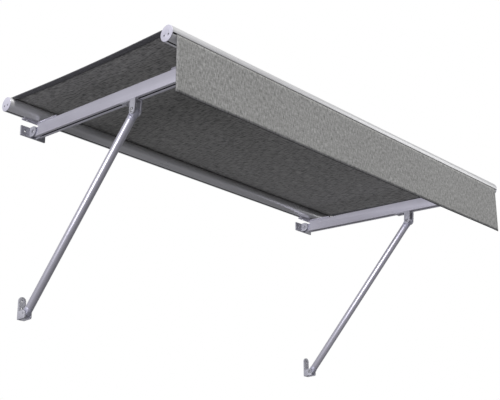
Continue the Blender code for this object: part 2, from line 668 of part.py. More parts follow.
# ---------------------------------------------------------------- struts
def strut_ends():
    """The strut's foot and head pivots in world (y, z)."""
    foot = Vector((-FOOT_REACH, FOOT_Z))
    head = Matrix.Rotation(PITCH, 3, "X") @ Vector((0.0, -SHOE_PIVOT, SHOE_PIVOT_Z))
    return foot, Vector((head.y - PIVOT_REACH, head.z))


def strut_fitting(name, holder, at, direction, hole_radius, hole_offset):
    """A strut end: a round-ended tongue, a collar as wide as the tube, and a plug inside the tube."""
    place = (0.0, 0.0, at)
    half = STRUT_TONGUE / 2
    radius = STRUT_TONGUE_RADIUS
    reach = direction * (STRUT_COLLAR - 0.012)
    tongue = [(radius, reach)] + arc((0.0, 0.0), radius, 0, -direction * 180) + [(-radius, reach)]
    body = finish(prism_x(tongue, -half, half), name, CAST_METAL, holder, place)
    collar = [(0.0, STRUT_COLLAR - 0.015), (STRUT_RADIUS - 0.0015, STRUT_COLLAR - 0.015)]
    collar += [(STRUT_RADIUS, STRUT_COLLAR - 0.0135), (STRUT_RADIUS, STRUT_COLLAR)]
    plug = STRUT_RADIUS - STRUT_WALL - GAP
    plug_end = STRUT_COLLAR + STRUT_PLUG_LENGTH
    collar += [(plug, STRUT_COLLAR), (plug, plug_end), (0.0, plug_end)]
    shape = turned(collar, (0.0, 0.0, 0.0), (0.0, 0.0, direction), sides=STRUT_SIDES)
    join(body, finish(shape, f"guide_{name}_collar", STEEL, holder, place))
    y, z = hole_offset
    bore = rod(hole_radius, (-half - 0.01, y, z), (half + 0.01, y, z), sides=24)
    cut(body, finish(bore, f"guide_{name}_bore", STEEL, holder, place))


def strut(side, sign):
    """One strut: a round tube with a fitting in each end, on its foot pivot."""
    foot, head = strut_ends()
    run = head - foot
    lean = math.atan2(-run.x, run.y)
    holder = empty(f"{side}_strut_foot", (sign * ARM_X, foot.x, foot.y), lean)
    low = STRUT_COLLAR + GAP
    high = run.length - STRUT_COLLAR - GAP
    name = f"{side}_strut"
    tube_body = rod(STRUT_RADIUS, (0.0, 0.0, low), (0.0, 0.0, high), sides=STRUT_SIDES)
    made = finish(tube_body, name, ALUMINIUM, holder)
    bore = STRUT_RADIUS - STRUT_WALL
    inside = rod(bore, (0.0, 0.0, low - 0.01), (0.0, 0.0, high + 0.01), sides=STRUT_SIDES)
    cut(made, finish(inside, f"guide_{name}_inside", STEEL, holder))
    foot_hole = STRUT_BOLT_RADIUS + STRUT_BOLT_CLEARANCE
    strut_fitting(f"{side}_strut_foot_fitting", holder, 0.0, 1.0, foot_hole, (0.0, 0.0))
    open_hole = (OPEN_PIVOT_ACROSS, OPEN_PIVOT_AXIAL)
    strut_fitting(f"{side}_strut_head_fitting", holder, run.length, -1.0, OPEN_PIVOT_HOLE_RADIUS, open_hole)


# ---------------------------------------------------------------- the awning
for old in list(bpy.data.objects):
    bpy.data.objects.remove(old, do_unlink=True)

ALUMINIUM = material("anodised_aluminium", (0.46, 0.45, 0.53), 0.38, 0.6)
CAST_METAL = material("painted_casting", (0.42, 0.42, 0.48), 0.45, 0.4)
BRACKET_METAL = material("bracket_aluminium", (0.44, 0.44, 0.50), 0.42, 0.5)
STEEL = material("zinc_plated_steel", (0.60, 0.60, 0.62), 0.35, 0.9)
PLASTIC = material("light_grey_plastic", (0.52, 0.51, 0.58), 0.50, 0.0)
DARK_CLOTH = material("canopy_cloth", (0.070, 0.070, 0.072), 0.90, 0.0)
LIGHT_CLOTH = material("valance_cloth", (0.27, 0.27, 0.25), 0.90, 0.0)

CANOPY = empty("canopy_pivot", (0.0, -PIVOT_REACH, 0.0), PITCH)

tube("rear", REAR_TUBE_Y, ("rear_top", "bottom"))
tube("front", FRONT_TUBE_Y, ("front_top", "bottom", "valance"))
cloth()
for side_name, side_sign in SIDES.items():
    wall_bracket(side_name, side_sign)
    foot_bracket(side_name, side_sign)
    arm(side_name, side_sign)
    shoe(side_name, side_sign)
    strut(side_name, side_sign)
    end_cap("rear", side_name, side_sign, REAR_TUBE_Y)
    end_cap("front", side_name, side_sign, FRONT_TUBE_Y)
    tube_holder("rear", side_name, side_sign, REAR_TUBE_Y, -1.0)
    tube_holder("front", side_name, side_sign, FRONT_TUBE_Y, 1.0)
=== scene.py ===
"""Looks for a fixed-frame fabric awning: cloth, extrusions, castings, caps and fixings, with light and camera.

Every length is in metres. X runs along the width, +Y into the wall and +Z up. The canopy's own frame lies on
the bolts that the arms swing on: its "reach" runs down the arms, away from the wall, and its "height" stands
square to the arms.
"""

import json
import logging
import math
from dataclasses import dataclass
from enum import Enum
from typing import Callable, Iterable, Sequence

import bmesh
import bpy
from mathutils import Matrix, Vector, noise

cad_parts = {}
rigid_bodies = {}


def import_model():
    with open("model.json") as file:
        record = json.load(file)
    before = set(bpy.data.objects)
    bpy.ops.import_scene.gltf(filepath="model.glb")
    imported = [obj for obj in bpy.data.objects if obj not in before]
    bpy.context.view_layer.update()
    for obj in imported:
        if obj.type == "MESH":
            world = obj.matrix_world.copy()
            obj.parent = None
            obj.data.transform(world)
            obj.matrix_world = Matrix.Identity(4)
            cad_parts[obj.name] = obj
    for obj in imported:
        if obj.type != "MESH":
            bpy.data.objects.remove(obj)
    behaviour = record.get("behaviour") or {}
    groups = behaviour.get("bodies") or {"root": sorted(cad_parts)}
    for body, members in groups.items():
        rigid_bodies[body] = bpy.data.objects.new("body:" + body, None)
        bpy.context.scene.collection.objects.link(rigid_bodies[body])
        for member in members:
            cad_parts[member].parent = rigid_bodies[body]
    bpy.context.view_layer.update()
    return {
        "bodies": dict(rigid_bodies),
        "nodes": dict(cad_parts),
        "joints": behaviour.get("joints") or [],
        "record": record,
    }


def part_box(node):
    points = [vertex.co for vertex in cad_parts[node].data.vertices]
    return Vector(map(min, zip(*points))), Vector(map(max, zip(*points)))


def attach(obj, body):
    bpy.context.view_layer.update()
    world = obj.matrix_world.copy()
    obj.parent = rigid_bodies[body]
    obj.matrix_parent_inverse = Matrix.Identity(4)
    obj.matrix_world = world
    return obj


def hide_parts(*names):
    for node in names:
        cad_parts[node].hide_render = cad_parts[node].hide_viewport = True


LOG = logging.getLogger("awning")
Colour = tuple[float, float, float]
# Painted shade: faces deep inside a hollow extrusion are marked in this vertex attribute and coloured near-black
# in place of the shade that falls in there.
PAINTED_SHADE_LAYER = "shelter"
PAINTED_HOLLOW_SHADE: Colour = (0.012, 0.012, 0.014)
# How far inside the section a face must lie to get the painted shade.
HOLLOW_SKIN = 0.0011
REAR_REACH = 0.0265
TUBE_SPACING = 1.137
TUBE_HEIGHT = 0.0725


class Body(Enum):
    """The rigid groups that pieces ride on."""

    WALL_SIDE = "wall_side"
    CANOPY = "canopy"
    VALANCE = "valance"
    LEFT_SHOE = "left_shoe"
    RIGHT_SHOE = "right_shoe"
    LEFT_STRUT = "left_strut"
    RIGHT_STRUT = "right_strut"


class Side(Enum):
    """The awning's two mirrored halves, with the sign of their X."""

    LEFT = -1
    RIGHT = 1

    @property
    def word(self) -> str:
        """The side's name as it stands in node names."""
        return self.name.lower()


class End(Enum):
    """The canopy's two tubes."""

    REAR = "rear"
    FRONT = "front"


class Hollow(Enum):
    """The section of an extrusion whose inside gets painted shade."""

    NONE = "none"
    ROUND = "round"
    BOX = "box"


# ---------------------------------------------------------------- node trees
class Board:
    """A material's node tree, with short calls for the nodes that the finishes share."""

    def __init__(self, name: str) -> None:
        """Makes an empty Principled material.

        Args:
            name: The material's name.
        """
        self.material = bpy.data.materials.new(name)
        self.material.use_nodes = True
        self.tree = self.material.node_tree
        self.shader = self.tree.nodes["Principled BSDF"]

    def node(self, kind: str, **values: object) -> bpy.types.Node:
        """Adds a node.

        Args:
            kind: The node's type, such as ShaderNodeMath.
            values: Properties of the node to set.

        Returns:
            The node.
        """
        made = self.tree.nodes.new(kind)
        for key, value in values.items():
            setattr(made, key, value)
        return made

    def link(self, source: bpy.types.NodeSocket, target: bpy.types.NodeSocket) -> None:
        """Joins two sockets."""
        self.tree.links.new(source, target)

    def place(self, kind: str, turn: float, stretch: Sequence[float]) -> bpy.types.NodeSocket:
        """Coordinates that are turned about X and stretched.

        Args:
            kind: Object, or UV.
            turn: The turn about X in radians.
            stretch: The scale along each axis after the turn.

        Returns:
            The vector socket.
        """
        source = self.node("ShaderNodeTexCoord").outputs[kind]
        turned = self.node("ShaderNodeMapping", vector_type="POINT")
        turned.inputs["Rotation"].default_value = (turn, 0.0, 0.0)
        self.link(source, turned.inputs["Vector"])
        scaled = self.node("ShaderNodeMapping", vector_type="POINT")
        scaled.inputs["Scale"].default_value = tuple(stretch)
        self.link(turned.outputs["Vector"], scaled.inputs["Vector"])
        return scaled.outputs["Vector"]

    def noise(self, where: bpy.types.NodeSocket, scale: float, detail: float = 3.0) -> bpy.types.NodeSocket:
        """A noise texture's value.

        Args:
            where: The coordinates to read.
            scale: The noise's scale.
            detail: How many finer layers it has.

        Returns:
            The value socket, from 0 to 1.
        """
        texture = self.node("ShaderNodeTexNoise")
        texture.inputs["Scale"].default_value = scale
        texture.inputs["Detail"].default_value = detail
        self.link(where, texture.inputs["Vector"])
        return texture.outputs["Fac"]

    def bands(self, where: bpy.types.NodeSocket, along: str, pitch: float, waver: float) -> bpy.types.NodeSocket:
        """Sine bands, such as yarns side by side.

        Args:
            where: The coordinates to read, in metres.
            along: The axis that the bands are counted along, X or Y.
            pitch: The distance from one band to the next.
            waver: How far the bands wander.

        Returns:
            The value socket, from 0 to 1.
        """
        texture = self.node("ShaderNodeTexWave", wave_type="BANDS", bands_direction=along, wave_profile="SIN")
        texture.inputs["Scale"].default_value = math.tau / 20.0 / pitch
        texture.inputs["Distortion"].default_value = waver
        texture.inputs["Detail Scale"].default_value = 2.0
        self.link(where, texture.inputs["Vector"])
        return texture.outputs["Fac"]

    def span(
        self, value: bpy.types.NodeSocket, low: float, high: float, tight: float = 0.0
    ) -> bpy.types.NodeSocket:
        """Maps a 0 to 1 value onto another range.

        Args:
            value: The value to map.
            low: What its low end becomes.
            high: What its high end becomes.
            tight: How much of each end is cut off first, for contrast.

        Returns:
            The mapped value socket.
        """
        mapped = self.node("ShaderNodeMapRange")
        mapped.inputs["From Min"].default_value = tight
        mapped.inputs["From Max"].default_value = 1.0 - tight
        mapped.inputs["To Min"].default_value = low
        mapped.inputs["To Max"].default_value = high
        self.link(value, mapped.inputs["Value"])
        return mapped.outputs["Result"]

    def maths(self, operation: str, first: bpy.types.NodeSocket, second: object) -> bpy.types.NodeSocket:
        """A Math node on a socket and a socket or number.

        Args:
            operation: The operation, such as MULTIPLY.
            first: The first input.
            second: The second input, a socket or a number.

        Returns:
            The result socket.
        """
        made = self.node("ShaderNodeMath", operation=operation)
        self.link(first, made.inputs[0])
        if isinstance(second, (int, float)):
            made.inputs[1].default_value = second
        else:
            self.link(second, made.inputs[1])
        return made.outputs["Value"]

    def blend_colours(self, amount: bpy.types.NodeSocket, low: Colour, high: Colour) -> bpy.types.NodeSocket:
        """A colour between two, by a 0 to 1 value.

        Args:
            amount: How far from low to high.
            low: The colour at 0.
            high: The colour at 1.

        Returns:
            The colour socket.
        """
        ramp = self.node("ShaderNodeValToRGB")
        ramp.color_ramp.elements[0].color = (*low, 1.0)
        ramp.color_ramp.elements[1].color = (*high, 1.0)
        self.link(amount, ramp.inputs["Fac"])
        return ramp.outputs["Color"]

    def sheltered(self, colour: bpy.types.NodeSocket) -> bpy.types.NodeSocket:
        """A colour with painted shade: near-black where the piece's painted-shade attribute marks the inside of a
        hollow.

        Args:
            colour: The open surface's colour.

        Returns:
            The colour socket.
        """
        shelter = self.node("ShaderNodeAttribute", attribute_name=PAINTED_SHADE_LAYER)
        mix = self.node("ShaderNodeMix", data_type="RGBA", blend_type="MIX")
        self.link(shelter.outputs["Fac"], mix.inputs["Factor"])
        self.link(colour, mix.inputs["A"])
        mix.inputs["B"].default_value = (*PAINTED_HOLLOW_SHADE, 1.0)
        return mix.outputs["Result"]

    def relief(self, height: bpy.types.NodeSocket, strength: float, depth: float) -> None:
        """Bumps the surface.

        Args:
            height: The height, from 0 to 1.
            strength: The bump's strength.
            depth: The real height of 1, in metres.
        """
        bump = self.node("ShaderNodeBump")
        bump.inputs["Strength"].default_value = strength
        bump.inputs["Distance"].default_value = depth
        self.link(height, bump.inputs["Height"])
        self.link(bump.outputs["Normal"], self.shader.inputs["Normal"])


def shade(colour: Colour, factor: float) -> Colour:
    """The colour, lighter or darker by a factor."""
    return tuple(min(channel * factor, 1.0) for channel in colour)


@dataclass(frozen=True)
class SatinExtrusion:
    """Satin anodised aluminium with the faint lines of the die along its length."""

    name: str
    colour: Colour
    along: str = "X"
    turn: float = 0.0
    metallic: float = 0.35
    roughness: float = 0.42

    def build(self) -> bpy.types.Material:
        """Makes the material.

        Returns:
            The material.
        """
        board = Board(self.name)
        fine = {"X": (1.2, 420.0, 420.0), "Y": (420.0, 1.2, 420.0), "Z": (420.0, 420.0, 1.2)}[self.along]
        broad = {"X": (0.5, 60.0, 60.0), "Y": (60.0, 0.5, 60.0), "Z": (60.0, 60.0, 0.5)}[self.along]
        lines = board.noise(board.place("Object", self.turn, fine), 1.0, 4.0)
        streaks = board.noise(board.place("Object", self.turn, broad), 1.0, 3.0)
        clouds = board.noise(board.place("Object", 0.0, (1.0, 1.0, 1.0)), 6.0, 5.0)
        tone = board.maths("ADD", board.span(lines, 0.0, 0.34, 0.25), board.span(streaks, 0.0, 0.36, 0.25))
        tone = board.maths("ADD", tone, board.span(clouds, 0.0, 0.30, 0.25))
        open_colour = board.blend_colours(tone, shade(self.colour, 0.90), shade(self.colour, 1.08))
        # Painted shade: near-black on the faces inside the hollow that the piece's painted-shade attribute marks.
        board.link(board.sheltered(open_colour), board.shader.inputs["Base Color"])
        worn = board.maths("ADD", board.span(clouds, -0.07, 0.07), board.span(streaks, -0.05, 0.05))
        board.link(board.maths("ADD", worn, self.roughness), board.shader.inputs["Roughness"])
        board.shader.inputs["Metallic"].default_value = self.metallic
        board.relief(lines, 0.12, 0.00008)
        return board.material


@dataclass(frozen=True)
class CastFinish:
    """A fine-grained casting or painted metal, with a soft orange-peel skin."""

    name: str
    colour: Colour
    metallic: float = 0.30
    roughness: float = 0.46
    grain: float = 900.0
    relief: float = 0.00012

    def build(self) -> bpy.types.Material:
        """Makes the material.

        Returns:
            The material.
        """
        board = Board(self.name)
        where = board.place("Object", 0.0, (1.0, 1.0, 1.0))
        skin = board.noise(where, self.grain, 2.0)
        clouds = board.noise(where, 35.0, 4.0)
        tone = board.maths("ADD", board.span(skin, 0.0, 0.25, 0.2), board.span(clouds, 0.2, 0.65, 0.2))
        board.link(
            board.blend_colours(tone, shade(self.colour, 0.86), shade(self.colour, 1.10)),
            board.shader.inputs["Base Color"],
        )
        board.link(
            board.span(clouds, self.roughness - 0.08, self.roughness + 0.08), board.shader.inputs["Roughness"]
        )
        board.shader.inputs["Metallic"].default_value = self.metallic
        board.relief(skin, 0.08, self.relief)
        return board.material


@dataclass(frozen=True)
class WovenCloth:
    """Acrylic awning cloth: heathered yarns across and along, read from the piece's own flat map in metres.

    The sheet's flat map runs across the cloth in U and down it in V.
    """

    name: str
    dark: Colour
    light: Colour
    yarn: float = 0.0009
    slub_length: float = 0.030
    slub_width: float = 0.0050
    contrast: float = 0.30

    def build(self) -> bpy.types.Material:
        """Makes the material.

        Returns:
            The material.
        """
        board = Board(self.name)
        flat = board.place("UV", 0.0, (1.0, 1.0, 1.0))
        long, short = 1.0 / self.slub_length, 1.0 / self.slub_width
        down = board.noise(board.place("UV", 0.0, (short, long, 1.0)), 1.0, 1.5)
        across = board.noise(board.place("UV", 0.0, (long, short, 1.0)), 1.0, 1.5)
        mottle = board.noise(flat, 90.0, 2.0)
        weathering = board.noise(flat, 2.4, 3.0)
        warp = board.bands(flat, "X", self.yarn, 0.6)
        weft = board.bands(flat, "Y", self.yarn, 0.6)
        weave = board.maths("MULTIPLY", warp, weft)
        tone = board.maths(
            "ADD", board.span(down, 0.0, 0.50, self.contrast), board.span(across, 0.0, 0.22, self.contrast)
        )
        tone = board.maths("ADD", tone, board.span(mottle, 0.0, 0.24, self.contrast))
        tone = board.maths("ADD", tone, board.span(weathering, -0.04, 0.06, 0.2))
        tone = board.maths("ADD", tone, board.span(weave, -0.04, 0.06))
        board.link(board.blend_colours(tone, self.dark, self.light), board.shader.inputs["Base Color"])
        board.link(board.span(mottle, 0.82, 0.96), board.shader.inputs["Roughness"])
        board.shader.inputs["Specular IOR Level"].default_value = 0.2
        board.shader.inputs["Sheen Weight"].default_value = 0.12
        board.shader.inputs["Sheen Roughness"].default_value = 0.5
        board.relief(board.maths("ADD", weave, board.span(down, 0.0, 0.8)), 0.35, 0.00025)
        return board.material


@dataclass(frozen=True)
class MouldedPlastic:
    """Matt moulded plastic with a fine spark-eroded grain."""

    name: str
    colour: Colour
    roughness: float = 0.5

    def build(self) -> bpy.types.Material:
        """Makes the material.

        Returns:
            The material.
        """
        board = Board(self.name)
        where = board.place("Object", 0.0, (1.0, 1.0, 1.0))
        grain = board.noise(where, 1400.0, 2.0)
        clouds = board.noise(where, 40.0, 3.0)
        board.link(
            board.blend_colours(clouds, shade(self.colour, 0.93), shade(self.colour, 1.06)),
            board.shader.inputs["Base Color"],
        )
        worn = board.span(clouds, self.roughness - 0.06, self.roughness + 0.08)
        board.link(worn, board.shader.inputs["Roughness"])
        board.relief(grain, 0.3, 0.00006)
        return board.material


# ---------------------------------------------------------------- shared work on pieces
def publish(
    bm: bmesh.types.BMesh,
    name: str,
    finish: bpy.types.Material,
    body: Body,
    stands_for: Iterable[str] = (),
    smooth_limit: float = 32.0,
) -> bpy.types.Object:
    """Turns a bmesh into a piece that rides on a body.

    Args:
        bm: The shape, in the world frame. It is freed.
        name: The piece's name.
        finish: Its material.
        body: The body that it rides on.
        stands_for: The CAD nodes that it replaces.
        smooth_limit: Edges sharper than this many degrees stay sharp.

    Returns:
        The piece.
    """
    mesh = bpy.data.meshes.new(name)
    bm.to_mesh(mesh)
    bm.free()
    mesh.shade_smooth()
    mesh.set_sharp_from_angle(angle=math.radians(smooth_limit))
    mesh.materials.append(finish)
    piece = bpy.data.objects.new(name, mesh)
    bpy.context.collection.objects.link(piece)
    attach(piece, body.value)
    for node in stands_for:
        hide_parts(node)
    LOG.info("%s: %d faces on %s", name, len(mesh.polygons), body.value)
    return piece


def rounded_copy(frame: dict, node: str, radius: float, sharp: float = 35.0) -> bmesh.types.BMesh:
    """A CAD node's shape with merged faces and rounded edges.

    Args:
        node: The node's name.
        radius: The rounding's width.
        sharp: Edges that turn by more than this many degrees are rounded.

    Returns:
        The new shape.
    """
    bm = bmesh.new()
    bm.from_mesh(frame["nodes"][node].data)
    bmesh.ops.remove_doubles(bm, verts=bm.verts[:], dist=1e-6)
    bmesh.ops.dissolve_limit(bm, angle_limit=math.radians(1.0), verts=bm.verts[:], edges=bm.edges[:])
    turning = [edge for edge in bm.edges if edge.calc_face_angle(0.0) > math.radians(sharp)]
    if radius > 0.0:
        bmesh.ops.bevel(
            bm,
            geom=turning,
            offset=radius,
            offset_type="OFFSET",
            segments=2,
            profile=0.5,
            affect="EDGES",
            material=-1,
            clamp_overlap=True,
        )
    return bm


@dataclass(frozen=True)
class CanopyFrame:
    """The pitched frame of the canopy: where a reach and a height along the arms lie in the world."""

    pivot: Vector
    pitch: float

    def point(self, x: float, reach: float, height: float) -> Vector:
        """A world point.

        Args:
            x: The place along the width.
            reach: The distance down the arms from their bolts.
            height: The height square to the arms.

        Returns:
            The point in the world.
        """
        turned = Matrix.Rotation(self.pitch, 3, "X") @ Vector((0.0, -reach, height))
        return Vector((x, 0.0, 0.0)) + Vector((0.0, self.pivot.y, self.pivot.z)) + turned

    def section(self, place: Vector) -> tuple[float, float, float]:
        """The (x, reach, height) of a world point."""
        turned = Matrix.Rotation(-self.pitch, 3, "X") @ (place - Vector((0.0, self.pivot.y, self.pivot.z)))
        return place.x, -turned.y, turned.z

    def direction(self, reach: float, height: float) -> Vector:
        """A world direction from one in the canopy's frame."""
        return (Matrix.Rotation(self.pitch, 3, "X") @ Vector((0.0, -reach, height))).normalized()


@dataclass
class Stitching:
    """Rows of short lock stitches: a small closed lozenge for each one."""

    length: float = 0.0036
    pitch: float = 0.0058
    thread: float = 0.00055

    def sew(self, bm: bmesh.types.BMesh, spot: Callable[[float], Vector], total: float, outward: Vector) -> None:
        """Adds one row.

        Args:
            bm: The shape that the stitches are added to.
            spot: The world point at a distance along the row.
            total: The row's length.
            outward: The direction that the stitches stand out in.
        """
        count = int(total / self.pitch)
        for number in range(count):
            start = (number + 0.5) * total / count
            centre = spot(start)
            along = (spot(min(start + 0.001, total)) - spot(max(start - 0.001, 0.0))).normalized()
            side = along.cross(outward).normalized()
            made = bmesh.ops.create_icosphere(bm, subdivisions=1, radius=1.0)
            basis = Matrix((along * self.length / 2, side * self.thread, outward * self.thread)).transposed()
            bmesh.ops.transform(bm, matrix=Matrix.Translation(centre) @ basis.to_4x4(), verts=made["verts"])


# ---------------------------------------------------------------- cloth
@dataclass
class CanopyCloth:
    """The stretched canopy: one sheet over both tubes, its side hems and their seams."""

    layout: CanopyFrame
    width: float = 2.286
    thickness: float = 0.0010
    rear_reach: float = REAR_REACH
    spacing: float = TUBE_SPACING
    tube_height: float = TUBE_HEIGHT
    wrap_radius: float = 0.0359
    slot_radius: float = 0.0320
    wrap: float = math.radians(10.0)
    sag: float = 0.009
    hem_width: float = 0.0315
    hem_clear: float = 0.013
    columns: int = 120
    straight_rows: int = 56

    def path(self) -> list[tuple[float, float]]:
        """The cloth's middle line as (reach, height), from the rear slot to the front slot.

        Returns:
            The points, in order.
        """
        rear, front = self.rear_reach, self.rear_reach + self.spacing
        steps = 5
        line = [self.around(rear, -self.wrap, self.slot_radius)]
        line += [self.around(rear, -self.wrap * (1.0 - step / steps), self.wrap_radius) for step in range(steps)]
        top = self.tube_height + self.wrap_radius
        for row in range(self.straight_rows + 1):
            share = row / self.straight_rows
            line.append((rear + self.spacing * share, top - self.sag * (4.0 * share * (1.0 - share)) ** 1.2))
        line += [self.around(front, self.wrap * (step + 1) / steps, self.wrap_radius) for step in range(steps)]
        line.append(self.around(front, self.wrap, self.slot_radius))
        return line

    def around(self, reach: float, lean: float, radius: float) -> tuple[float, float]:
        """A point on a tube's circle, leaning from its top towards the front."""
        return reach + radius * math.sin(lean), self.tube_height + radius * math.cos(lean)

    def strip(
        self, low: float, high: float, columns: int, line: Sequence[tuple[float, float]], drop: float
    ) -> bmesh.types.BMesh:
        """A sheet over part of the width that follows a line, with its flat map in metres.

        Args:
            low: The lowest X.
            high: The highest X.
            columns: How many faces across.
            line: The (reach, height) points that it follows.
            drop: How far below the line it lies.

        Returns:
            The open sheet.
        """
        bm = bmesh.new()
        rows = len(line) - 1
        bmesh.ops.create_grid(bm, x_segments=columns, y_segments=rows, size=1.0)
        lengths = [0.0]
        for before, after in zip(line, line[1:]):
            lengths.append(lengths[-1] + math.dist(before, after))
        flat = bm.loops.layers.uv.new("flat")
        rows_of = {vert: round((vert.co.y + 1.0) / 2.0 * rows) for vert in bm.verts}
        for vert in bm.verts:
            row = rows_of[vert]
            x = low + (high - low) * (vert.co.x + 1.0) / 2.0
            reach, height = line[row]
            vert.co = self.layout.point(x, reach, height - drop + self.ripple(x, lengths[row]))
        for face in bm.faces:
            for loop in face.loops:
                loop[flat].uv = (loop.vert.co.x, lengths[rows_of[loop.vert]])
        return bm

    def ripple(self, x: float, along: float) -> float:
        """How far the cloth lies above its even line: long shallow tension waves that die out at the tubes."""
        total = self.spacing
        inside = max(0.0, min(1.0, (along - 0.012) / total)) * max(0.0, min(1.0, (total - along) / total))
        middle = max(0.0, 1.0 - abs(x) / (self.width / 2)) ** 0.5
        return 0.0035 * 4.0 * inside * middle * noise.noise(Vector((x * 2.3, along * 0.7, 0.0)))

    def build(self, cloth: bpy.types.Material, hem: bpy.types.Material, thread: bpy.types.Material) -> None:
        """Args:
            cloth: The sheet's material.
            hem: The doubled hem's material.
            thread: The stitches' material.
        """
        half = self.width / 2
        line = self.path()
        sheet_shape = self.strip(-half, half, self.columns, line, 0.0)
        bmesh.ops.recalc_face_normals(sheet_shape, faces=sheet_shape.faces[:])
        sheet = publish(sheet_shape, "canopy_sheet", cloth, Body.CANOPY, ["canopy_fabric"], 60.0)
        self.thicken(sheet, self.thickness)
        inner = [point for point in line if self.free(point[0])]
        for side in Side:
            edges = sorted((side.value * half, side.value * (half - self.hem_width)))
            shape = self.strip(edges[0], edges[1], 4, inner, self.thickness + 0.0003)
            bmesh.ops.recalc_face_normals(shape, faces=shape.faces[:])
            band = publish(shape, f"{side.word}_canopy_hem", hem, Body.CANOPY, (), 60.0)
            self.thicken(band, self.thickness)
            self.seams(side, half, inner, thread)

    def free(self, reach: float) -> bool:
        """Whether the cloth is clear of both tubes at this reach."""
        start = self.rear_reach + self.hem_clear
        return start <= reach <= self.rear_reach + self.spacing - self.hem_clear

    def seams(
        self, side: Side, half: float, line: Sequence[tuple[float, float]], thread: bpy.types.Material
    ) -> bpy.types.Object:
        """The two rows of stitches that hold one hem, above and below the cloth.

        Args:
            side: The side of the hem.
            half: Half of the cloth's width.
            line: The (reach, height) points that the hem follows.
            thread: The stitches' material.

        Returns:
            The stitches, as one piece.
        """
        bm = bmesh.new()
        stitching = Stitching()
        up = self.layout.direction(0.0, 1.0)
        total = line[-1][0] - line[0][0]
        for inset in (self.hem_width - 0.003, self.hem_width - 0.009):
            x = side.value * (half - inset)
            for lift, outward in ((self.thickness / 2 + 0.0002, up), (-1.5 * self.thickness - 0.0005, -up)):

                def spot(distance: float, x: float = x, lift: float = lift) -> Vector:
                    """The world point at a distance along the hem."""
                    share = distance / total * (len(line) - 1)
                    index = min(int(share), len(line) - 2)
                    part = share - index
                    reach = line[index][0] * (1 - part) + line[index + 1][0] * part
                    height = line[index][1] * (1 - part) + line[index + 1][1] * part
                    along = reach - self.rear_reach
                    return self.layout.point(x, reach, height + lift + self.ripple(x, along + 0.012))

                stitching.sew(bm, spot, total, outward)
        return publish(bm, f"{side.word}_canopy_seams", thread, Body.CANOPY, (), 60.0)

    def thicken(self, piece: bpy.types.Object, thickness: float) -> None:
        """Gives a sheet its thickness, half to each side."""
        solid = piece.modifiers.new("thickness", "SOLIDIFY")
        solid.thickness = thickness
        solid.offset = 0.0


